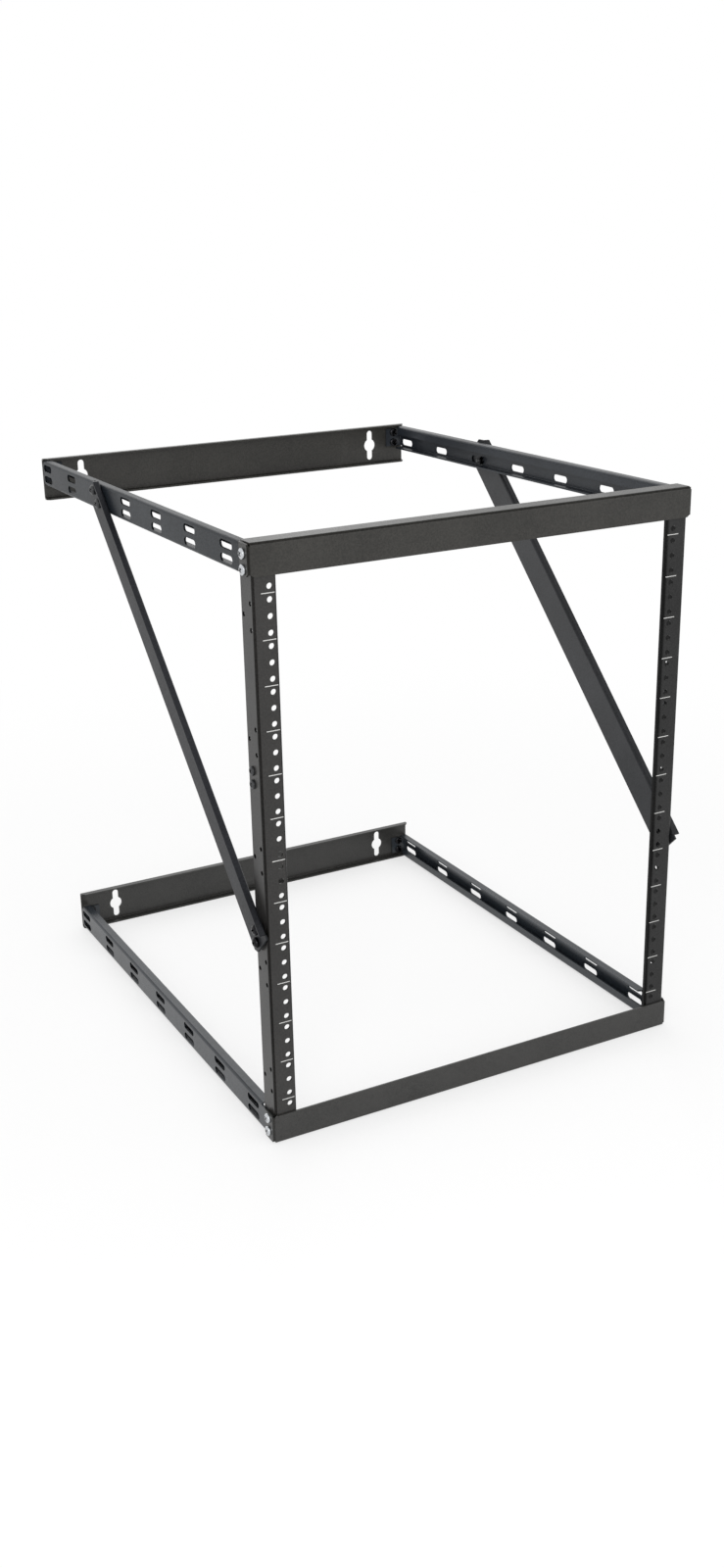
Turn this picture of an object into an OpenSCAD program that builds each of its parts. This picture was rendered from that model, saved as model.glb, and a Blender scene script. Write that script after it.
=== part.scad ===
// Two post open frame rack, wall mounted, twelve rack units high.
// X runs across the rack, Y from the front to the wall, Z up. Millimetres.

/* [Overall] */
// Rack units between the first and the last mark
units = 12; // [10:1:14]
// Height of one rack unit
u_h = 44.45; // [44.4:0.05:44.5]
// Depth from the front plane of the posts to the wall
reach = 606; // [606:1:640]
// Sheet thickness of every folded piece
sheet_t = 2; // [1.8:0.1:2.2]
// Outside radius of the folds
fold_r = 3; // [2.6:0.1:3.2]

/* [Posts] */
// Distance between the two columns of equipment holes
hole_span = 465.1; // [464.5:0.1:465.7]
// Distance of a column of holes from the outer side of its post
hole_out = 17.45; // [16.5:0.05:18]
// Diameter of the equipment holes
hole_d = 6; // [5:0.1:7]
// Width of the front face of a post
post_face = 25; // [23.5:0.1:26]
// Depth of the side face of a post
post_side = 26; // [25:0.5:28]
// Depth of the lip along the free edge of the face
post_lip = 6; // [5:0.5:8]
// Diameter of the small holes in the side of a post
side_hole_d = 5; // [3:0.1:5.4]
// Spacing of the pairs of small side holes
side_pair = 25.4; // [22:0.2:29]
// Setback of the paired side holes
side_pair_y = 6.5; // [6:0.1:8]
// Setback of the single side holes
side_single_y = 21.5; // [19.5:0.1:22]

/* [Front rails] */
// Height of the face of a front rail
rail_h = 32; // [31.4:0.1:36]
// Depth of the flange of a front rail
rail_flange = 22; // [18:0.5:24]
// Depth of the end tabs of a front rail
rail_tab = 19.5; // [17:0.5:22]
// Width of the notch beside a fold on the free edge
notch_w = 2.6; // [1.5:0.1:4]
// Depth of the notch across a fold on the free edge
notch_h = 2.2; // [1:0.1:2.6]
// Relief of a tab beside the flange
tab_relief = 1.3; // [1:0.1:2]

/* [Arms] */
// Depth of the flanges of an arm
arm_flange = 11; // [9:0.5:14]
// Height of the lip along the outer flange of an arm
arm_lip = 11; // [9:0.5:12]
// Setback of the lip that clears the corner nuts
lip_clear = 20; // [18:0.5:36]
// Length of the flange without lip at the rear end of an arm
lip_short = 5; // [4:0.5:12]
// Setback of the front edge of an arm
arm_start = 4; // [3.4:0.1:5]
// Setback of the flange that clears the post
arm_clear = 30; // [29:0.5:36]
// Distance between two pairs of slots
slot_pitch = 88.9; // [84:0.1:88.9]
// Setback of the first pair of slots
slot_first = 51.5; // [48:0.1:51.5]
// Least sheet between the last slot and the rear fold
slot_edge = 1.5; // [1:0.1:1.5]
// Length of a slot
slot_len = 28; // [25:0.5:28]
// Height of a slot
slot_h = 8; // [7:0.1:8.8]
// Distance between the two rows of slots
slot_rows = 13.3; // [12.6:0.1:14]
// Depth of the rear tab of an arm
arm_tab = 24; // [20:0.5:28]
// Setback of the flanges of an arm from the web of the wall rail
arm_short = 4.5; // [3.5:0.1:6]

/* [Wall rails] */
// Height of a wall rail
wall_h = 50; // [46:0.5:60]
// Depth of the flanges of a wall rail
wall_flange = 10; // [8:0.5:14]
// Distance of a keyhole from the end of its rail
key_end = 48.8; // [44:0.1:60]
// Diameter of the middle of a keyhole
key_d = 16.5; // [14:0.1:18]
// Width of the ends of a keyhole
key_slot = 8.2; // [6:0.1:9]
// Length of a keyhole
key_len = 38.4; // [32:0.2:40]

/* [Braces] */
// Width of the web of a brace
brace_w = 38; // [34:0.5:42]
// Depth of the flange of a brace
brace_flange = 8; // [6:0.5:12]
// Length of the web past the lower screws
brace_low = 11; // [9.5:0.5:14]
// Length of the web past the upper screws
brace_up = 15; // [14:0.5:18]
// Height of the level upper end over the arm
brace_top = 1; // [0.5:0.1:3]
// Length without flange at the lower end
brace_bare_low = 5; // [2:0.5:20]
// Cut corner at the lower end
brace_cut = 5; // [3:0.5:7]
// Height of the lower screws under the middle of the post
brace_drop = 83.8; // [78:0.1:90]
// Spacing of the lower screws
brace_pair = 13.8; // [13:0.1:15]
// Setback of the lower screws
brace_y = 17.5; // [16.5:0.1:18]
// Distance of the lower screws behind the middle of the brace
brace_lead = 2.5; // [1:0.1:3.5]
// Distance of the upper screws in front of the middle of their slots
brace_shift = 2.1; // [1:0.1:2.4]
// Number of the pair of slots that holds a brace, from the rear
brace_pair_at = 3; // [2:1:3]
// What a fold takes from the width where its flange is cut off
fold_loss = 1; // [0.8:0.1:1.4]

/* [Fasteners] */
// Shank diameter of the corner screws
m_big = 6; // [5:0.1:6.2]
// Shank diameter of the brace screws
m_small = 5; // [4:0.1:5.2]
// Height of the heads of the corner screws
big_rise = 3.4; // [3:0.1:4]
// Height of the heads of the small screws
small_rise = 2.6; // [2.2:0.1:3]
// Clearance all round a shank in a plate
fit_r = 0.2; // [0.1:0.05:0.4]
// Clearance all round a shank in a nut
nut_r = 0.05; // [0.02:0.01:0.08]
// Spacing of the two corner screws
corner_pair = 15; // [14:0.1:15.4]
// Setback of the corner screws
corner_y = 9; // [9:0.1:10.5]
// Distance of the corner screws from the middle of the arm
corner_off = 1.5; // [0.5:0.1:1.6]

/* [Output] */
// Piece to show

/* [Hidden] */
$fn = 48;
e = 0.01;
// across
post_x = hole_span / 2 + hole_out;      // outside of the posts
arm_x = post_x + sheet_t;               // outside of the arms
half_w = arm_x + sheet_t;               // outside of the tabs and braces
side_x = post_x - sheet_t;              // inside of the side of a post
rear_x = arm_x - (arm_tab + fold_r) / 2;
key_x = arm_x - key_end;
// upwards
arm_h = rail_h - sheet_t;
arm_mid = sheet_t + arm_h / 2;
rack_h = (units + 2) * u_h + 4 * sheet_t;
mid_z = rack_h / 2;
mark_z = mid_z - units * u_h / 2;       // lowest unit mark
side_group = (units - 1) * u_h / 4;
corner_z = arm_mid + corner_off;
// backwards
face_y = -sheet_t;                      // outside of the front rails
rear_y = reach - sheet_t;               // front of the webs of the wall rails
flange_end = rear_y - arm_short;             // rear ends of the flanges of the arms

// the centre line of a brace, from its lower screws to its upper ones
slot_room = rear_y - fold_r - slot_edge - slot_len / 2 - slot_first;
slot_pairs = floor(slot_room / slot_pitch) + 1;
up_c = [slot_first + (slot_pairs - brace_pair_at) * slot_pitch - brace_shift,
    rack_h - arm_mid];
low_c = [brace_y - brace_lead, mid_z - brace_drop];
span = norm(up_c - low_c);
lean = atan2(up_c[1] - low_c[1], up_c[0] - low_c[0]);
ax = [cos(lean), sin(lean)];
ac = [-sin(lean), cos(lean)];
up_dy = slot_rows / 2 / tan(lean);
tip = low_c - ax * brace_low + ac * (brace_w / 2 - fold_loss);
y_min = min(face_y, tip[0]);
y_mid = (y_min + reach) / 2;

// ---- frames ----
module seat() { translate([0, -y_mid, 0]) children(); }
module left() { mirror([1, 0, 0]) children(); }
// turns a bottom piece into the top one
module flip() { translate([0, 0, rack_h]) mirror([0, 0, 1]) children(); }

// ---- sections ----
// an L with its outer corner at the origin and legs along +x and +y
module ell(a, b) {
    translate([fold_r, 0]) square([a - fold_r, sheet_t]);
    translate([0, fold_r]) square([sheet_t, b - fold_r]);
    intersection() {
        translate([fold_r, fold_r]) difference() {
            circle(fold_r);
            circle(fold_r - sheet_t);
        }
        square([fold_r, fold_r]);
    }
}
// a C with its back on the y axis from 0 to h, and legs along +x
module cee(h, leg) {
    ell(leg, h / 2 + e);
    translate([0, h]) mirror([0, 1]) ell(leg, h / 2 + e);
}
// a C whose lower leg is turned up again at its end
module lipped(h, leg, lip) {
    ell(leg / 2 + e, h / 2 + e);
    translate([leg, 0]) mirror([1, 0]) ell(leg / 2 + e, lip);
    translate([0, h]) mirror([0, 1]) ell(leg, h / 2 + e);
}
// section of x and y carried along Z
module along_z(z0, z1) { translate([0, 0, z0]) linear_extrude(z1 - z0) children(); }
// section of y and z carried along X
module along_x(x0, x1) {
    translate([x0, 0, 0]) rotate([90, 0, 90]) linear_extrude(x1 - x0) children();
}
// section of x and z carried along Y
module along_y(y0, y1) {
    translate([0, y1, 0]) rotate([90, 0, 0]) linear_extrude(y1 - y0) children();
}
module hole_x(y, z, d, x0, x1) {
    translate([x0, y, z]) rotate([0, 90, 0]) cylinder(d = d, h = x1 - x0);
}
module hole_y(x, z, d, y0, y1) {
    translate([x, y1, z]) rotate([90, 0, 0]) cylinder(d = d, h = y1 - y0);
}

// ---- fasteners: head outward at x0, shank inward ----
module screw(d, head, rise, grip) {
    difference() {
        union() {
            cylinder(d = head, h = rise * 0.45);
            intersection() {
                translate([0, 0, rise - head * 0.75]) sphere(r = head * 0.75);
                cylinder(d = head - 0.6, h = rise);
            }
        }
        for (q = [0, 90]) rotate([0, 0, q])
            translate([-head * 0.29, -head * 0.055, rise * 0.42])
                cube([head * 0.58, head * 0.11, rise]);
    }
    translate([0, 0, -grip]) cylinder(d = d, h = grip + e);
}
module screw_x(x, y, z, d, head, rise, grip) {
    translate([x, y, z]) rotate([0, 90, 0]) screw(d, head, rise, grip);
}
module nut_x(x, y, z, d) {
    // bearing face at x, body inward
    translate([x, y, z]) rotate([0, -90, 0]) difference() {
        union() {
            cylinder(d = d * 2, h = d * 0.2);
            cylinder(d = d * 1.85, h = d * 0.85, $fn = 6);
        }
        translate([0, 0, -1]) cylinder(d = d + 2 * nut_r, h = d + 2);
    }
}

// ---- folded pieces, the bottom and right hand ones ----
module corner_holes(x0, x1) {
    for (q = [-1, 1])
        hole_x(corner_y, corner_z + q * corner_pair / 2, m_big + 2 * fit_r, x0, x1);
}

module front_rail() {
    inner = half_w - fold_r;
    floor_z = rail_h - notch_h;
    difference() {
        union() {
            along_x(-inner, inner) translate([face_y, 0]) ell(rail_flange, rail_h);
            for (s = [0, 1]) mirror([s, 0, 0]) {
                along_z(tab_relief + sheet_t, rail_h)
                    translate([half_w, face_y]) mirror([1, 0]) ell(fold_r + e, rail_tab);
                translate([arm_x, face_y + fold_r, tab_relief])
                    cube([sheet_t, rail_tab - fold_r, sheet_t + e]);
            }
        }
        for (s = [0, 1]) mirror([s, 0, 0]) {
            // the notch across the fold, on the free edge
            translate([inner - e, face_y - 1, floor_z])
                cube([fold_r + 1, fold_r + 1, notch_h + 1]);
            along_y(face_y - 1, 1)
                polygon([[inner, floor_z], [inner, rail_h + 1],
                    [inner - notch_w, rail_h + 1], [inner - notch_w, rail_h]]);
            along_x(arm_x - 1, half_w + 1) translate([face_y + fold_r - e, 0])
                polygon([[0, floor_z], [notch_w, rail_h], [notch_w, rail_h + 1],
                    [0, rail_h + 1]]);
            corner_holes(arm_x - 1, half_w + 1);
        }
    }
}

module post() {
    low = 2 * sheet_t;
    difference() {
        along_z(low, rack_h - low)
            translate([post_x, 0]) mirror([1, 0]) {
                ell(post_face / 2 + e, post_side);
                translate([post_face, 0]) mirror([1, 0])
                    ell(post_face / 2 + e, post_lip);
            }
        // ends of the side cut short beside the folds of the arms
        for (z = [low - 1, rack_h - low - fold_r + sheet_t])
            translate([side_x - 1, fold_r, z])
                cube([sheet_t + 2, post_side, fold_r - sheet_t + 1]);
        // equipment holes: three to a unit and one past each end
        for (u = [0 : units - 1], o = [u_h / 7, u_h / 2, u_h * 6 / 7])
            hole_y(hole_span / 2, mark_z + u * u_h + o, hole_d, -1, sheet_t + 1);
        for (z = [mark_z - u_h / 7, mark_z + (units + 1 / 7) * u_h])
            hole_y(hole_span / 2, z, hole_d, -1, sheet_t + 1);
        // small holes in the side
        for (g = [-2 : 2]) {
            for (q = [-1, 1])
                hole_x(side_pair_y, mid_z + g * side_group + q * side_pair / 2,
                    side_hole_d, side_x - 1, post_x + 1);
            hole_x(side_single_y, mid_z + g * side_group, side_hole_d,
                side_x - 1, post_x + 1);
        }
        // brace pairs, the used one and the spare one
        for (s = [-1, 1], q = [-1, 1])
            hole_x(brace_y, mid_z + s * brace_drop + q * brace_pair / 2,
                m_small + 2 * fit_r, side_x - 1, post_x + 1);
        corner_holes(side_x - 1, post_x + 1);
        flip() corner_holes(side_x - 1, post_x + 1);
    }
}

module slot_cut(y, z) {
    run = slot_len - slot_h;
    for (q = [-1, 1]) hole_x(y + q * run / 2, z, slot_h, post_x - 1, arm_x + 1);
    translate([post_x - 1, y - run / 2, z - slot_h / 2])
        cube([sheet_t + 2, run, slot_h]);
}

module arm() {
    web_low = sheet_t + fold_r + 0.5;
    web_high = rail_h - fold_r - 0.5;
    difference() {
        union() {
            along_y(arm_start, flange_end)
                translate([arm_x, sheet_t]) mirror([1, 0])
                lipped(arm_h, arm_flange, arm_lip);
            // web on to the rear fold, and the tab flat on the wall rail
            translate([post_x, flange_end - e, web_low])
                cube([sheet_t, rear_y - fold_r - flange_end + 2 * e, web_high - web_low]);
            along_z(web_low, web_high)
                translate([arm_x, rear_y]) mirror([1, 0]) mirror([0, 1])
                    ell(arm_tab, fold_r + e);
        }
        // flange on the free edge cut back behind the post, its end slanted
        along_z(rail_h - fold_r, rail_h + 1)
            polygon([[post_x, arm_start - 1], [post_x, arm_clear],
                [arm_x - arm_flange - 1, arm_clear + 5],
                [arm_x - arm_flange - 1, arm_start - 1]]);
        translate([post_x - 1, arm_start - 1, rail_h - sheet_t])
            cube([sheet_t + 2, arm_clear - arm_start + 1, sheet_t + 1]);
        // lip cut off with its fold beside the corner nuts and the rear screws
        for (y = [arm_start - 1, flange_end - lip_short])
            translate([arm_x - arm_flange - 1, y, sheet_t - 1])
                cube([fold_r + 1, (y < arm_start ? lip_clear : flange_end + 1) - y,
                    arm_lip + 2]);
        for (k = [0 : slot_pairs - 1], q = [-1, 1])
            slot_cut(slot_first + k * slot_pitch, arm_mid + q * slot_rows / 2);
        corner_holes(post_x - 1, arm_x + 1);
        for (q = [-1, 1])
            hole_y(rear_x, arm_mid + q * slot_rows / 2, m_small + 2 * fit_r,
                rear_y - sheet_t - 1, rear_y + 1);
    }
}

module wall_rail() {
    difference() {
        along_x(-arm_x, arm_x)
            translate([reach, 0]) mirror([1, 0]) cee(wall_h, wall_flange);
        for (s = [-1, 1]) {
            hole_y(s * key_x, wall_h / 2, key_d, rear_y - 1, reach + 1);
            for (q = [-1, 1])
                hole_y(s * key_x, wall_h / 2 + q * (key_len - key_slot) / 2,
                    key_slot, rear_y - 1, reach + 1);
            translate([s * key_x - key_slot / 2, rear_y - 1,
                    wall_h / 2 - (key_len - key_slot) / 2])
                cube([key_slot, sheet_t + 2, key_len - key_slot]);
            for (q = [-1, 1])
                hole_y(s * rear_x, arm_mid + q * slot_rows / 2,
                    m_small + 2 * nut_r, rear_y - 1, reach + 1);
            // front corners of the flanges cut off
            for (z = [-1, wall_h - fold_r])
                translate([s * arm_x, reach - wall_flange, z]) rotate([0, 0, 45])
                    translate([-3, -3, 0]) cube([6, 6, fold_r + 1]);
        }
    }
}

module brace() {
    whole = span + brace_low + brace_up;
    top = up_c + ax * brace_up;
    difference() {
        translate([arm_x, top[0], top[1]]) rotate([90 + lean, 0, 0]) difference() {
            union() {
                linear_extrude(whole - brace_bare_low)
                    translate([0, brace_w / 2]) mirror([0, 1]) ell(brace_flange, brace_w);
                translate([0, 0, whole - brace_bare_low - e])
                    linear_extrude(brace_bare_low + e)
                    translate([0, -brace_w / 2]) square([sheet_t, brace_w - fold_loss]);
            }
            // lower rear corner cut off
            translate([-1, -brace_w / 2, whole]) rotate([45, 0, 0])
                translate([0, -brace_cut, -brace_cut] * sqrt(0.5))
                cube([sheet_t + 2, brace_cut * sqrt(2), brace_cut * sqrt(2)]);
        }
        // upper end cut level
        translate([arm_x - 1, top[0] - brace_w, rack_h + brace_top])
            cube([brace_flange + 2, 2 * brace_w, brace_w]);
        for (q = [-1, 1]) {
            hole_x(up_c[0] + q * up_dy, up_c[1] + q * slot_rows / 2,
                m_small + 2 * fit_r, arm_x - 1, half_w + 1);
            hole_x(brace_y, low_c[1] + q * brace_pair / 2,
                m_small + 2 * fit_r, arm_x - 1, half_w + 1);
        }
    }
}

// ---- groups of fasteners, bottom and right hand ----
big_head = m_big * 1.75;
small_head = m_small * 1.85;
module corner_screws() {
    for (q = [-1, 1])
        screw_x(half_w, corner_y, corner_z + q * corner_pair / 2,
            m_big, big_head, big_rise, half_w - side_x + m_big * 0.85 + 1);
}
module corner_nuts() {
    for (q = [-1, 1])
        nut_x(side_x, corner_y, corner_z + q * corner_pair / 2, m_big);
}
module brace_arm_screws() {
    for (q = [-1, 1])
        screw_x(half_w, up_c[0] + q * up_dy, up_c[1] + q * slot_rows / 2,
            m_small, small_head, small_rise, half_w - post_x + m_small * 0.85 + 1);
}
module brace_arm_nuts() {
    for (q = [-1, 1])
        nut_x(post_x, up_c[0] + q * up_dy, up_c[1] + q * slot_rows / 2, m_small);
}
module brace_post_screws() {
    for (q = [-1, 1])
        screw_x(half_w, brace_y, low_c[1] + q * brace_pair / 2,
            m_small, small_head, small_rise, half_w - side_x + m_small * 0.85 + 1);
}
module brace_post_nuts() {
    for (q = [-1, 1])
        nut_x(side_x, brace_y, low_c[1] + q * brace_pair / 2, m_small);
}
module brace_spacers() {
    for (q = [-1, 1]) difference() {
        hole_x(brace_y, low_c[1] + q * brace_pair / 2, m_small * 2.1, post_x, arm_x);
        hole_x(brace_y, low_c[1] + q * brace_pair / 2, m_small + 2 * fit_r,
            post_x - 1, arm_x + 1);
    }
}
module spare_screws() {
    for (q = [-1, 1])
        screw_x(post_x, brace_y, mid_z + brace_drop + q * brace_pair / 2,
            m_small, small_head, small_rise, sheet_t + 4);
}
module rear_screws() {
    for (q = [-1, 1])
        translate([rear_x, rear_y - sheet_t, arm_mid + q * slot_rows / 2])
            rotate([90, 0, 0]) screw(m_small, small_head, small_rise, 2 * sheet_t - fit_r);
}

black = [0.16, 0.165, 0.17];
zinc = [0.78, 0.79, 0.8];
dark = [0.1, 0.1, 0.105];

module top_front_rail() color(black) seat() flip() front_rail();
module bottom_front_rail() color(black) seat() front_rail();
module right_post() color(black) seat() post();
module left_post() color(black) seat() left() post();
module bottom_right_arm() color(black) seat() arm();
module bottom_left_arm() color(black) seat() left() arm();
module top_right_arm() color(black) seat() flip() arm();
module top_left_arm() color(black) seat() flip() left() arm();
module bottom_wall_rail() color(black) seat() wall_rail();
module top_wall_rail() color(black) seat() flip() wall_rail();
module right_brace() color(black) seat() brace();
module left_brace() color(black) seat() left() brace();
module bottom_right_corner_screws() color(zinc) seat() corner_screws();
module bottom_left_corner_screws() color(zinc) seat() left() corner_screws();
module top_right_corner_screws() color(zinc) seat() flip() corner_screws();
module top_left_corner_screws() color(zinc) seat() flip() left() corner_screws();
module bottom_right_corner_nuts() color(zinc) seat() corner_nuts();
module bottom_left_corner_nuts() color(zinc) seat() left() corner_nuts();
module top_right_corner_nuts() color(zinc) seat() flip() corner_nuts();
module top_left_corner_nuts() color(zinc) seat() flip() left() corner_nuts();
module right_brace_arm_screws() color(dark) seat() brace_arm_screws();
module left_brace_arm_screws() color(dark) seat() left() brace_arm_screws();
module right_brace_arm_nuts() color(dark) seat() brace_arm_nuts();
module left_brace_arm_nuts() color(dark) seat() left() brace_arm_nuts();
module right_brace_post_screws() color(dark) seat() brace_post_screws();
module left_brace_post_screws() color(dark) seat() left() brace_post_screws();
module right_brace_post_nuts() color(dark) seat() brace_post_nuts();
module left_brace_post_nuts() color(dark) seat() left() brace_post_nuts();
module right_brace_spacers() color(black) seat() brace_spacers();
module left_brace_spacers() color(black) seat() left() brace_spacers();
module right_spare_screws() color(dark) seat() spare_screws();
module left_spare_screws() color(dark) seat() left() spare_screws();
module bottom_right_rear_screws() color(dark) seat() rear_screws();
module bottom_left_rear_screws() color(dark) seat() left() rear_screws();
module top_right_rear_screws() color(dark) seat() flip() rear_screws();
module top_left_rear_screws() color(dark) seat() flip() left() rear_screws();

top_front_rail();
bottom_front_rail();
left_post();
right_post();
top_left_arm();
top_right_arm();
bottom_left_arm();
bottom_right_arm();
top_wall_rail();
bottom_wall_rail();
left_brace();
right_brace();
top_left_corner_screws();
top_right_corner_screws();
bottom_left_corner_screws();
bottom_right_corner_screws();
top_left_corner_nuts();
top_right_corner_nuts();
bottom_left_corner_nuts();
bottom_right_corner_nuts();
left_brace_arm_screws();
right_brace_arm_screws();
left_brace_arm_nuts();
right_brace_arm_nuts();
left_brace_post_screws();
right_brace_post_screws();
left_brace_post_nuts();
right_brace_post_nuts();
left_brace_spacers();
right_brace_spacers();
left_spare_screws();
right_spare_screws();
top_left_rear_screws();
top_right_rear_screws();
bottom_left_rear_screws();
bottom_right_rear_screws();
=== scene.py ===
import math

import bmesh
import bpy
from mathutils import Matrix, Quaternion, Vector


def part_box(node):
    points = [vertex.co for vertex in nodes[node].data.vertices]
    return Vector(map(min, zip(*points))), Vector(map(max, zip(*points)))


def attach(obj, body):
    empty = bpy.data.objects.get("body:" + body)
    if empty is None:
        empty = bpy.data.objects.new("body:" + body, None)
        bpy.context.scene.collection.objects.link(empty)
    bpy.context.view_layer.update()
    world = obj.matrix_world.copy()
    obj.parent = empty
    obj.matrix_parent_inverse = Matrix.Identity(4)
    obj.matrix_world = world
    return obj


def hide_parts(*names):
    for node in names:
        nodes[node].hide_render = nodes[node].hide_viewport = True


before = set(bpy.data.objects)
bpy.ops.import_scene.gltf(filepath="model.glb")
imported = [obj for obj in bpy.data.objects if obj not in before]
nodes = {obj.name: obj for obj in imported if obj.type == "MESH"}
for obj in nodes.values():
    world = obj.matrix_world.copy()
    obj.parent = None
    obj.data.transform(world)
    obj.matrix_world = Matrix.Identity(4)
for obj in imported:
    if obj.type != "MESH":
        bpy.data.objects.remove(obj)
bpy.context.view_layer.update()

# ---- camera ----
# It looks down at the rack from the front left, from a little above its top,
# and is tilted slightly to one side.
around, above, tilt = math.radians(-26.914), math.radians(20.297), math.radians(-1.578)
towards_eye = Vector(
    (math.sin(around) * math.cos(above), -math.cos(around) * math.cos(above), math.sin(above))
)
camera = bpy.data.objects.new("camera", bpy.data.cameras.new("camera"))
camera.location = (-0.8337, -1.6025, 0.9230)
camera.rotation_mode = "QUATERNION"
level_view = (-towards_eye).to_track_quat("-Z", "Y")
camera.rotation_quaternion = level_view @ Quaternion((0, 0, 1), tilt)
camera.data.lens = 36.57
camera.data.sensor_width = 36
camera.data.shift_x = 0.0184
bpy.context.scene.collection.objects.link(camera)
bpy.context.scene.camera = camera

# ---- front rails ----
# Each front rail is an angle bent from 2 mm steel sheet, with a tab folded back at each
# end. Like all the folded pieces it is sprayed with black powder and baked: a fine even
# orange peel with light rubs. Painted shade darkens sharp folds, and on posts and arms the
# punched holes, and each piece gets a lighter or darker copy of the coat as painted light.
sheet = 0.002
hair = 0.0001  # keeps the thinly covered places off the flat faces beside them
post_low, post_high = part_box("right_post")
post_front, post_back, post_side = post_low.y, post_high.y, post_high.x


def new_group(name, inputs, outputs):
    group = bpy.data.node_groups.new(name, "ShaderNodeTree")
    for label, kind, value in inputs:
        group.interface.new_socket(label, in_out="INPUT", socket_type=kind).default_value = value
    for label, kind in outputs:
        group.interface.new_socket(label, in_out="OUTPUT", socket_type=kind)
    return group, group.nodes.new("NodeGroupInput"), group.nodes.new("NodeGroupOutput")


def add_node(tree, kind, **values):
    """A node with its settings, or the inputs that carry their names, filled in."""
    node = tree.nodes.new(kind)
    for key, value in values.items():
        if hasattr(node, key):
            setattr(node, key, value)
        else:
            node.inputs[key.replace("_", " ").title()].default_value = value
    return node


def powder_group():
    """Shade, rub and bump of a powder coat, and its painted shade on folds and in holes."""
    group, given, result = new_group(
        "powder",
        [("Folds", "NodeSocketFloat", 0.0), ("Holes", "NodeSocketFloat", 0.0)],
        [
            ("Shade", "NodeSocketFloat"),
            ("Rub", "NodeSocketFloat"),
            ("Painted Shade", "NodeSocketFloat"),
            ("Normal", "NodeSocketVector"),
        ],
    )
    link = group.links.new
    place = group.nodes.new("ShaderNodeTexCoord")

    def noise(scale, detail):
        made = add_node(group, "ShaderNodeTexNoise", Scale=scale, Detail=detail, Roughness=0.6)
        link(place.outputs["Object"], made.inputs["Vector"])
        return made

    def compute(kind, *values, clamp=False):
        made = add_node(group, "ShaderNodeMath", operation=kind, use_clamp=clamp)
        for socket, value in zip(made.inputs, values):
            if isinstance(value, float):
                socket.default_value = value
            else:
                link(value, socket)
        return made.outputs["Value"]

    def all_of(first, *others):
        mask = first
        for other in others:
            mask = compute("MULTIPLY", mask, other, clamp=True)
        return mask

    cloud, speck = noise(scale=14.0, detail=4.0), noise(scale=640.0, detail=2.0)
    grain = noise(scale=900.0, detail=3.0)
    facing, spot = (group.nodes.new("ShaderNodeSeparateXYZ") for _ in range(2))
    link(place.outputs["Normal"], facing.inputs["Vector"])
    link(place.outputs["Object"], spot.inputs["Vector"])
    depth, sideways = spot.outputs["Y"], compute("ABSOLUTE", spot.outputs["X"])
    backwards, outward = facing.outputs["Y"], compute("ABSOLUTE", facing.outputs["X"])

    # painted shade along a fold, which lies between the front, facing along -Y, and a flange or
    # side
    edge = add_node(group, "ShaderNodeMapRange", From_Min=-0.99, From_Max=-0.90)
    link(backwards, edge.inputs["Value"])
    turning = compute("MULTIPLY", backwards, -2.0)
    fold = all_of(edge.outputs["Result"], turning, given.outputs["Folds"])

    # painted shade in the holes cut through the face and the side of a post and through the web
    # of an arm, and the same painted shade on the inside of a post
    across = compute("LESS_THAN", outward, 0.5)
    in_face = all_of(
        compute("LESS_THAN", depth, post_front + sheet - hair),
        compute("GREATER_THAN", backwards, -0.5),
    )
    in_side = all_of(
        compute("GREATER_THAN", sideways, post_side - sheet + hair / 4),
        compute("LESS_THAN", depth, post_back - hair / 4),
        across,
    )
    in_arm = all_of(compute("GREATER_THAN", sideways, post_side + hair / 2), across)
    inside = all_of(
        compute("LESS_THAN", sideways, post_side - sheet / 2),
        compute("LESS_THAN", depth, post_back - sheet - hair),
        compute("GREATER_THAN", outward, 0.5),
    )
    hole = compute("MAXIMUM", in_face, in_side)
    for mask in (in_arm, inside):
        hole = compute("MAXIMUM", hole, mask)
    painted_shade = compute("MAXIMUM", fold, all_of(hole, given.outputs["Holes"]))

    shade = compute("MULTIPLY_ADD", cloud.outputs["Fac"], 0.9, -0.75)
    shade = compute("MULTIPLY_ADD", speck.outputs["Fac"], 1.6, shade)
    # the painted shade darkens folds, holes and the inside of the posts
    shade = compute("MULTIPLY_ADD", painted_shade, -0.4, shade)
    stretch = add_node(group, "ShaderNodeMapping")
    stretch.inputs["Scale"].default_value = (60.0, 60.0, 9.0)
    link(place.outputs["Object"], stretch.inputs["Vector"])
    scuff = add_node(group, "ShaderNodeTexNoise", Scale=1.0, Detail=6.0, Roughness=0.7)
    link(stretch.outputs["Vector"], scuff.inputs["Vector"])
    rub = add_node(group, "ShaderNodeMapRange", From_Min=0.60, From_Max=0.78, To_Max=0.5)
    link(scuff.outputs["Fac"], rub.inputs["Value"])
    bump = add_node(group, "ShaderNodeBump", Strength=0.16, Distance=0.0002)
    link(grain.outputs["Fac"], bump.inputs["Height"])
    link(shade, result.inputs["Shade"])
    link(rub.outputs["Result"], result.inputs["Rub"])
    link(painted_shade, result.inputs["Painted Shade"])
    link(bump.outputs["Normal"], result.inputs["Normal"])
    return group


powder = powder_group()


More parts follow.
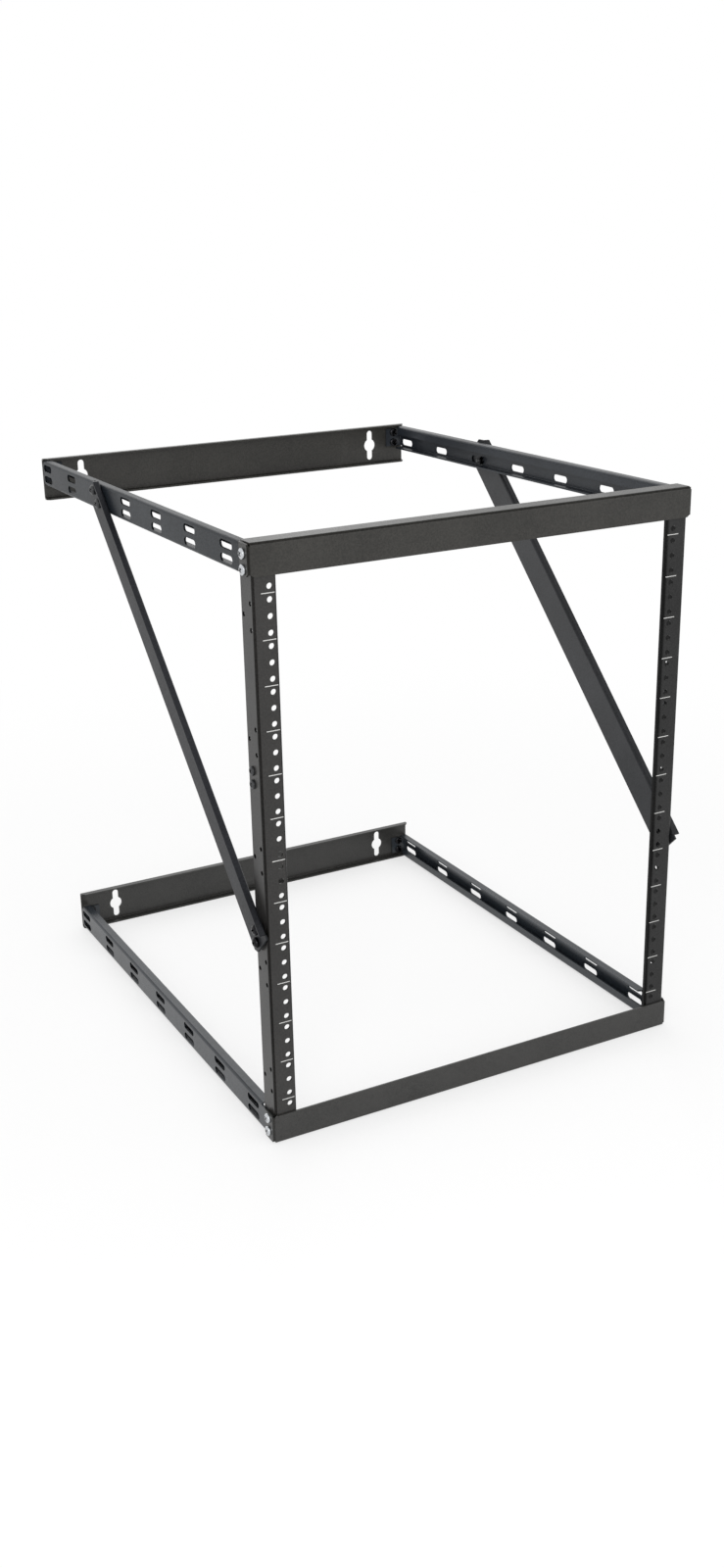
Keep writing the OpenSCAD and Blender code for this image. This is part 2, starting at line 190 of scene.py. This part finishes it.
def powder_coat(name, colour, dull, sheen, folds=0.0, holes=0.0):
    """A copy of the powder coat whose colour and sheen paint its light, with painted shade on
    folds and holes.
    """
    material = bpy.data.materials.new(name)
    material.use_nodes = True
    tree = material.node_tree
    shader = tree.nodes["Principled BSDF"]
    coat = tree.nodes.new("ShaderNodeGroup")
    coat.node_tree = powder
    coat.inputs["Folds"].default_value = folds
    coat.inputs["Holes"].default_value = holes
    tone, rubbed = (add_node(tree, "ShaderNodeMix", data_type="RGBA") for _ in range(2))
    tone.inputs["A"].default_value = [c * 0.5 for c in colour] + [1]
    tone.inputs["B"].default_value = [c * 1.6 for c in colour] + [1]
    rubbed.inputs["B"].default_value = [c * 1.8 + 0.004 for c in colour] + [1]
    gloss = add_node(tree, "ShaderNodeMapRange", To_Min=dull + 0.06, To_Max=dull - 0.06)
    link = tree.links.new
    # painted shade: folds and holes turn metallic, which darkens their reflection
    if folds or holes:
        link(coat.outputs["Painted Shade"], shader.inputs["Metallic"])
    link(coat.outputs["Shade"], tone.inputs["Factor"])
    link(tone.outputs["Result"], rubbed.inputs["A"])
    link(coat.outputs["Rub"], rubbed.inputs["Factor"])
    link(rubbed.outputs["Result"], shader.inputs["Base Color"])
    link(coat.outputs["Shade"], gloss.inputs["Value"])
    link(gloss.outputs["Result"], shader.inputs["Roughness"])
    link(coat.outputs["Normal"], shader.inputs["Normal"])
    shader.inputs["Specular IOR Level"].default_value = sheen
    return material


def dress(material, *names):
    """Gives a finish to pieces of the frame, whose shapes stay as they are."""
    for name in names:
        for place in nodes[name].material_slots:
            place.material = material


# the top rails get a darker copy of the coat as painted shade and the bottom rails a lighter,
# shinier one as painted light; their warm tint is painted light too
shaded_rail = powder_coat("shaded_rail", (0.0235, 0.0225, 0.020), dull=0.33, sheen=0.34, folds=0.75)
lit_rail = powder_coat("lit_rail", (0.0265, 0.026, 0.0245), dull=0.30, sheen=0.42, folds=0.5)
dress(shaded_rail, "top_front_rail")
dress(lit_rail, "bottom_front_rail")

# ---- posts ----
# The two posts are bent from the same sheet to a side, a face and a narrow lip. The face
# has a column of equipment holes, three to a rack unit, the side small and screw holes.
# the left post gets a lighter, shinier, warm-tinted copy of the coat as painted light, and the
# right post a darker, duller one as painted shade
lit_post = powder_coat(
    "lit_post", (0.0225, 0.0215, 0.0205), dull=0.33, sheen=0.34, folds=0.75, holes=0.9
)
shaded_post = powder_coat(
    "shaded_post", (0.019, 0.019, 0.019), dull=0.34, sheen=0.19, folds=0.3, holes=0.9
)
dress(lit_post, "left_post")
dress(shaded_post, "right_post")

# ---- unit marks ----
# A thin pale line is printed across the front of each post at every rack unit,
# through the column of holes, so that equipment can be lined up.
unit, mark_count = 0.04445, 13
mark_long, mark_high, ink = 0.0138, 0.0008, 0.00004
# the marks of the left post sit a little further out from its holes
column, outward_shift = 0.2325, 0.002
printed = bpy.data.materials.new("printed_line")
printed.use_nodes = True
ink_shader = printed.node_tree.nodes["Principled BSDF"]
ink_shader.inputs["Roughness"].default_value = 0.6
worn = add_node(printed.node_tree, "ShaderNodeTexNoise", Scale=1400.0, Detail=3.0)
where = printed.node_tree.nodes.new("ShaderNodeTexCoord")
fade = add_node(printed.node_tree, "ShaderNodeMix", data_type="RGBA")
fade.inputs["A"].default_value = (0.44, 0.44, 0.43, 1)
fade.inputs["B"].default_value = (0.70, 0.70, 0.68, 1)
printed.node_tree.links.new(where.outputs["Object"], worn.inputs["Vector"])
printed.node_tree.links.new(worn.outputs["Fac"], fade.inputs["Factor"])
printed.node_tree.links.new(fade.outputs["Result"], ink_shader.inputs["Base Color"])

for post_name, centre_x in (("left_post", -column - outward_shift), ("right_post", column)):
    low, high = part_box(post_name)
    middle = (low.z + high.z) / 2
    bm = bmesh.new()
    for mark in range(mark_count):
        height = middle + (mark - (mark_count - 1) / 2) * unit
        cube = bmesh.ops.create_cube(bm, size=1.0)
        bmesh.ops.scale(bm, vec=(mark_long, ink, mark_high), verts=cube["verts"])
        bmesh.ops.translate(bm, vec=(centre_x, low.y - ink / 2, height), verts=cube["verts"])
    mesh = bpy.data.meshes.new(post_name.replace("post", "unit_marks"))
    bm.to_mesh(mesh)
    bm.free()
    marks = bpy.data.objects.new(mesh.name, mesh)
    bpy.context.scene.collection.objects.link(marks)
    mesh.materials.append(printed)
    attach(marks, "root")

# ---- arms ----
# Four channels of the same sheet, with a lip, reach from the posts to the wall, each with
# seven pairs of slots. Their black is painted bluer as painted light on their sides, lighter
# and shinier on the lower pair as painted light, and darker on the upper left as painted shade.
shaded_arm = powder_coat("shaded_arm", (0.013, 0.0165, 0.021), dull=0.36, sheen=0.15, holes=0.9)
half_lit_arm = powder_coat("half_lit_arm", (0.016, 0.0195, 0.025), dull=0.34, sheen=0.36, holes=0.9)
lit_arm = powder_coat("lit_arm", (0.020, 0.0245, 0.030), dull=0.30, sheen=0.44, holes=0.9)
dress(shaded_arm, "top_left_arm")
dress(half_lit_arm, "top_right_arm")
dress(lit_arm, "bottom_left_arm", "bottom_right_arm")

# ---- wall rails ----
# Two wider channels of sheet join the arms at the wall and hang on screws through double
# ended keyholes. They share the painted light and shade of the front rails.
dress(shaded_rail, "top_wall_rail")
dress(lit_rail, "bottom_wall_rail")


# ---- corner screws and nuts ----
# The four front corners are each held by two zinc plated pan head screws with
# a cross recess. They pass through rail, arm and post into nuts with a collar.
def plated(name, colour, dull, grain, metal=1.0):
    """A plated or painted screw surface with a fine bloom of the given grain."""
    material = bpy.data.materials.new(name)
    material.use_nodes = True
    tree = material.node_tree
    shader = tree.nodes["Principled BSDF"]
    shader.inputs["Metallic"].default_value = metal
    place = tree.nodes.new("ShaderNodeTexCoord")
    bloom = add_node(tree, "ShaderNodeTexNoise", Scale=grain, Detail=4.0, Roughness=0.6)
    tone = add_node(tree, "ShaderNodeMix", data_type="RGBA")
    tone.inputs["A"].default_value = [c * 0.74 for c in colour] + [1]
    tone.inputs["B"].default_value = [min(1, c * 1.2) for c in colour] + [1]
    gloss = add_node(tree, "ShaderNodeMapRange", To_Min=dull - 0.06, To_Max=dull + 0.12)
    grit = add_node(tree, "ShaderNodeBump", Strength=0.15, Distance=0.0001)
    link = tree.links.new
    link(place.outputs["Object"], bloom.inputs["Vector"])
    link(bloom.outputs["Fac"], tone.inputs["Factor"])
    link(bloom.outputs["Fac"], gloss.inputs["Value"])
    link(bloom.outputs["Fac"], grit.inputs["Height"])
    link(tone.outputs["Result"], shader.inputs["Base Color"])
    link(gloss.outputs["Result"], shader.inputs["Roughness"])
    link(grit.outputs["Normal"], shader.inputs["Normal"])
    return material


def turned(profile):
    """A closed turned form about Z from its (radius, height) profile."""
    bm = bmesh.new()
    ring = [bm.verts.new((r, 0, h)) for r, h in profile]
    edges = [bm.edges.new(pair) for pair in zip(ring, ring[1:])]
    bmesh.ops.spin(
        bm, geom=ring + edges, cent=(0, 0, 0), axis=(0, 0, 1),
        angle=math.tau, steps=30, use_merge=True,
    )
    bmesh.ops.remove_doubles(bm, verts=bm.verts, dist=1e-6)
    bmesh.ops.recalc_face_normals(bm, faces=bm.faces)
    return bm


def as_object(bm, name):
    """A new object, at the origin, that takes over the shape."""
    mesh = bpy.data.meshes.new(name)
    bm.to_mesh(mesh)
    bm.free()
    made = bpy.data.objects.new(name, mesh)
    bpy.context.scene.collection.objects.link(made)
    return made


def cut(body, tool, how):
    """The body after the tool was taken out of it, or kept in common with it."""
    body, tool = as_object(body, "body"), as_object(tool, "tool")
    step = body.modifiers.new("cut", "BOOLEAN")
    step.operation, step.solver, step.object = how, "EXACT", tool
    ready = bpy.data.meshes.new_from_object(
        body.evaluated_get(bpy.context.evaluated_depsgraph_get())
    )
    bm = bmesh.new()
    bm.from_mesh(ready)
    for used in (body, tool):
        bpy.data.objects.remove(used)
    bpy.data.meshes.remove(ready)
    return bm


def thread(radius, pitch, top, bottom):
    """The profile of a thread, down to a chamfered end."""
    root, end = radius * 0.87, radius * 0.85
    teeth = []
    for crest in range(int((top - bottom) / pitch)):
        teeth += [(radius, top - crest * pitch), (root, top - (crest + 0.5) * pitch)]
    return teeth + [(end, bottom), (0, bottom)]


def pan_screw(head, rise, shank, grip, pitch):
    """A screw with a cross recess, head above z = 0 and a shank as long as grip below."""
    radius, rim, foot = head / 2, rise * 0.42, rise * 0.12
    dome = [(0, rise)]
    for share in (0.32, 0.55, 0.74, 0.88, 0.97):
        dome.append((radius * share, rise * (1 - 0.42 * share**3.2)))
    dome += [(radius, rim), (radius, foot), (radius * 0.96, 0), (shank / 2, 0)]
    body = turned(dome + thread(shank / 2, pitch, -0.002, -grip))
    # the recess is cut by two blades that are wide at the mouth and narrow at the point
    slot, mouth, point, tall = head * 0.15, head * 0.58, head * 0.2, rise * 1.3
    for quarter in (0, 1):
        blade = bmesh.new()
        for vert in bmesh.ops.create_cube(blade, size=1.0)["verts"]:
            wide = mouth if vert.co.z > 0 else point
            vert.co = (vert.co.x * wide, vert.co.y * slot, vert.co.z * tall + rise)
        turn = Matrix.Rotation(quarter * math.pi / 2, 3, "Z")
        bmesh.ops.rotate(blade, verts=blade.verts, cent=(0, 0, 0), matrix=turn)
        body = cut(body, blade, "DIFFERENCE")
    # the faces of the recess take the second material, a darker painted shade
    slack = 1.005
    for face in body.faces:
        centre = face.calc_center_median()
        near, far = sorted((abs(centre.x), abs(centre.y)))
        if near < slot / 2 * slack and far < mouth / 2 * slack and centre.z > 0:
            face.material_index = 1
    return body


def collar_nut(bore, height):
    """A hexagon with its corners turned off, on a round collar, bearing face at z = 0."""
    corner, turned_to, waist = bore * 0.925, bore * 0.94, bore * 0.95
    hexagon = bmesh.new()
    bmesh.ops.create_cone(
        hexagon, cap_ends=True, segments=6, radius1=corner, radius2=corner, depth=height
    )
    bmesh.ops.translate(hexagon, vec=(0, 0, height / 2), verts=hexagon.verts)
    flat, shoulder = bore * 0.8, height * 0.86
    corners = [(0, height), (flat, height), (turned_to, shoulder), (turned_to, 0), (0, 0)]
    body = cut(hexagon, turned(corners), "INTERSECT")
    top, edge = height * 0.24, height * 0.16
    collar = [(0, top), (waist, top), (bore, edge), (bore, 0), (0, 0)]
    body = cut(body, turned(collar), "UNION")
    hole, over = bore * 0.51, 0.001
    through = [(0, height + over), (hole, height + over), (hole, -over), (0, -over)]
    return cut(body, turned(through), "DIFFERENCE")


def fasten(name, shape, spots, towards, materials):
    """Copies of one fastener, each with its axis turned to face one way, in one piece."""
    mesh = bpy.data.meshes.new("shape")
    shape.to_mesh(mesh)
    whole = bmesh.new()
    facing = Vector(towards).to_track_quat("Z", "Y").to_matrix().to_4x4()
    for index, spot in enumerate(spots):
        before = len(whole.verts)
        whole.from_mesh(mesh)
        whole.verts.ensure_lookup_table()
        # each one stops at another angle when it is tight
        turn = Matrix.Rotation(0.5 + 1.3 * index + 21.0 * spot.z, 4, "Z")
        bmesh.ops.transform(
            whole, matrix=Matrix.Translation(spot) @ facing @ turn, verts=whole.verts[before:]
        )
    bpy.data.meshes.remove(mesh)
    piece = as_object(whole, name)
    for material in materials:
        piece.data.materials.append(material)
    for polygon in piece.data.polygons:
        polygon.use_smooth = True
    piece.data.set_sharp_from_angle(angle=math.radians(38))
    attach(piece, "root")
    return piece


def seats(node, head, seat, axis=0):
    """The places of a pair of fasteners on their seat, from the box round their heads."""
    low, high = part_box(node)
    first, second = low + Vector((head / 2,) * 3), high - Vector((head / 2,) * 3)
    for spot in (first, second):
        spot[axis] = seat
    return [first, second]


# from the outside in: the tab of the rail or the brace, the arm, and the post
outer_side, nut_side = post_side + 2 * sheet, post_side - sheet
zinc = (
    plated("bright_zinc", (0.60, 0.62, 0.64), dull=0.22, grain=520.0),
    # the recess is painted darker grey as painted shade
    plated("zinc_recess_shade", (0.13, 0.13, 0.135), dull=0.5, grain=900.0),
)
corner_screw = pan_screw(head=0.0107, rise=0.0034, shank=0.006, grip=0.0121, pitch=0.001)
corner_nut = collar_nut(bore=0.006, height=0.0051)
corner_head = 0.0105
for level in ("top", "bottom"):
    for hand, side in (("left", -1), ("right", 1)):
        screws, nuts = f"{level}_{hand}_corner_screws", f"{level}_{hand}_corner_nuts"
        spots = seats(screws, corner_head, side * outer_side)
        piece = fasten(f"zinc_{screws}", corner_screw, spots, (side, 0, 0), zinc)
        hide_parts(screws)
        spots = [Vector((side * nut_side, spot.y, spot.z)) for spot in spots]
        piece = fasten(f"zinc_{nuts}", corner_nut, spots, (-side, 0, 0), zinc)
        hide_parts(nuts)

# ---- braces and spacers ----
# A bar of sheet with one folded edge ties each post to its top arm, outside both. Washers
# fill the step between the post and the lower end of the brace.
# the left brace gets a darker copy of the coat as painted shade, the right brace a lighter,
# shinier one as painted light with painted shade along its fold; their bluish tint is painted
# light
shaded_brace = powder_coat("shaded_brace", (0.0155, 0.0165, 0.0195), dull=0.36, sheen=0.15)
lit_brace = powder_coat("lit_brace", (0.0195, 0.0205, 0.023), dull=0.34, sheen=0.36, folds=0.5)
dress(shaded_brace, "left_brace", "left_brace_spacers")
dress(lit_brace, "right_brace", "right_brace_spacers")

# ---- brace screws, spare screws and rear screws ----
# Black pan head screws with nuts hold the braces to arms and posts. Shorter ones wait in
# the spare holes of the posts and tie the rear tabs of the arms to the wall rails. They
# are zinc plated and blackened, and those at the arms and the spare ones are sprayed over.
# the recesses of the black and coated screws are painted near black as painted shade
black_recess_shade = plated("black_recess_shade", (0.004, 0.004, 0.004), dull=0.6, grain=900.0)
black_zinc = (plated("black_zinc", (0.02, 0.02, 0.022), dull=0.2, grain=700.0), black_recess_shade)
coated = (
    plated("coated_screw", (0.024, 0.025, 0.027), dull=0.30, grain=700.0, metal=0.0),
    black_recess_shade,
)
long_screw = pan_screw(head=0.0110, rise=0.0046, shank=0.005, grip=0.0112, pitch=0.0008)
short_screw = pan_screw(head=0.0096, rise=0.0030, shank=0.005, grip=0.006, pitch=0.0008)
tab_screw = pan_screw(head=0.0104, rise=0.0030, shank=0.005, grip=0.0038, pitch=0.0008)
brace_nut = collar_nut(bore=0.005, height=0.00425)
black_head, black_rise = 0.00925, 0.0026
for hand, side in (("left", -1), ("right", 1)):
    for part, screw, seat, finish, nut_seat in (
        ("brace_arm_screws", long_screw, outer_side, coated, post_side),
        ("brace_post_screws", long_screw, outer_side, black_zinc, nut_side),
        ("spare_screws", short_screw, post_side, coated, None),
    ):
        name = f"{hand}_{part}"
        spots = seats(name, black_head, side * seat)
        piece = fasten(f"black_{name}", screw, spots, (side, 0, 0), finish)
        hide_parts(name)
        if nut_seat:
            nuts = name.replace("screws", "nuts")
            spots = [Vector((side * nut_seat, spot.y, spot.z)) for spot in spots]
            piece = fasten(
                f"black_{nuts}", brace_nut, spots, (-side, 0, 0), black_zinc
            )
            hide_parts(nuts)
    for level in ("top", "bottom"):
        name = f"{level}_{hand}_rear_screws"
        spots = seats(name, black_head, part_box(name)[0].y + black_rise, axis=1)
        piece = fasten(f"black_{name}", tab_screw, spots, (0, -1, 0), black_zinc)
        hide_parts(name)

# ---- floor and light ----
# The rack stands on a pale paper floor that fades to plain white further out, under
# three wide, soft lamps and an even white room.
bm = bmesh.new()
bmesh.ops.create_grid(bm, x_segments=1, y_segments=1, size=12)
mesh = bpy.data.meshes.new("floor")
bm.to_mesh(mesh)
bm.free()
floor = bpy.data.objects.new("floor", mesh)
floor.location.z = -0.0005
bpy.context.scene.collection.objects.link(floor)
paper = bpy.data.materials.new("paper")
paper.use_nodes = True
paper_tree = paper.node_tree
matt = paper_tree.nodes["Principled BSDF"]
matt.inputs["Base Color"].default_value = (0.98, 0.98, 0.98, 1)
matt.inputs["Roughness"].default_value = 0.9
matt.inputs["Specular IOR Level"].default_value = 0.1
mesh.materials.append(paper)


def background_ray(tree):
    """1 where the background is seen, straight on or in a mirror, and 0 where it lights."""
    ray = tree.nodes.new("ShaderNodeLightPath")
    seen = ray.outputs["Is Camera Ray"]
    for mirrored in ("Is Glossy Ray", "Is Transmission Ray"):
        either = add_node(tree, "ShaderNodeMath", operation="MAXIMUM")
        tree.links.new(seen, either.inputs[0])
        tree.links.new(ray.outputs[mirrored], either.inputs[1])
        seen = either.outputs["Value"]
    return seen


# away from the rack the paper fades to plain white
spot = paper_tree.nodes.new("ShaderNodeTexCoord")
reach = add_node(paper_tree, "ShaderNodeVectorMath", operation="LENGTH")
fade_out = add_node(
    paper_tree, "ShaderNodeMapRange", interpolation_type="SMOOTHSTEP",
    From_Min=0.55, From_Max=1.5, To_Min=0.62,
)
share = add_node(paper_tree, "ShaderNodeMath", operation="MULTIPLY")
glow = paper_tree.nodes.new("ShaderNodeEmission")
blend = paper_tree.nodes.new("ShaderNodeMixShader")
link = paper_tree.links.new
link(spot.outputs["Object"], reach.inputs[0])
link(reach.outputs["Value"], fade_out.inputs["Value"])
link(fade_out.outputs["Result"], share.inputs[0])
link(background_ray(paper_tree), share.inputs[1])
link(share.outputs["Value"], blend.inputs["Fac"])
link(matt.outputs["BSDF"], blend.inputs[1])
link(glow.outputs["Emission"], blend.inputs[2])
link(blend.outputs["Shader"], paper_tree.nodes["Material Output"].inputs["Surface"])

world = bpy.data.worlds.new("studio")
bpy.context.scene.world = world
world.use_nodes = True
room = world.node_tree
dim = room.nodes["Background"]
dim.inputs["Color"].default_value = (1, 1, 1, 1)
dim.inputs["Strength"].default_value = 0.78
white = add_node(room, "ShaderNodeBackground", Color=(1, 1, 1, 1))
choice = room.nodes.new("ShaderNodeMixShader")
room.links.new(background_ray(room), choice.inputs["Fac"])
room.links.new(dim.outputs["Background"], choice.inputs[1])
room.links.new(white.outputs["Background"], choice.inputs[2])
room.links.new(choice.outputs["Shader"], room.nodes["World Output"].inputs["Surface"])


def soft_lamp(name, place, aim, size, power):
    """A square panel that looks at one point."""
    lamp = bpy.data.objects.new(name, bpy.data.lights.new(name, "AREA"))
    lamp.data.size = size
    lamp.data.energy = power
    lamp.location = place
    lamp.rotation_euler = (Vector(aim) - Vector(place)).to_track_quat("-Z", "Y").to_euler()
    bpy.context.scene.collection.objects.link(lamp)


soft_lamp("left_panel", (-1.1, -2.3, 1.3), aim=(0, 0, 0.3), size=1.6, power=26)
soft_lamp("right_panel", (1.6, -2.4, 1.2), aim=(0, 0, 0.3), size=1.8, power=6)
soft_lamp("rear_panel", (0.4, 2.2, 2.2), aim=(0, 0, 0.2), size=2.0, power=12)

bpy.context.scene.view_settings.view_transform = "Standard"
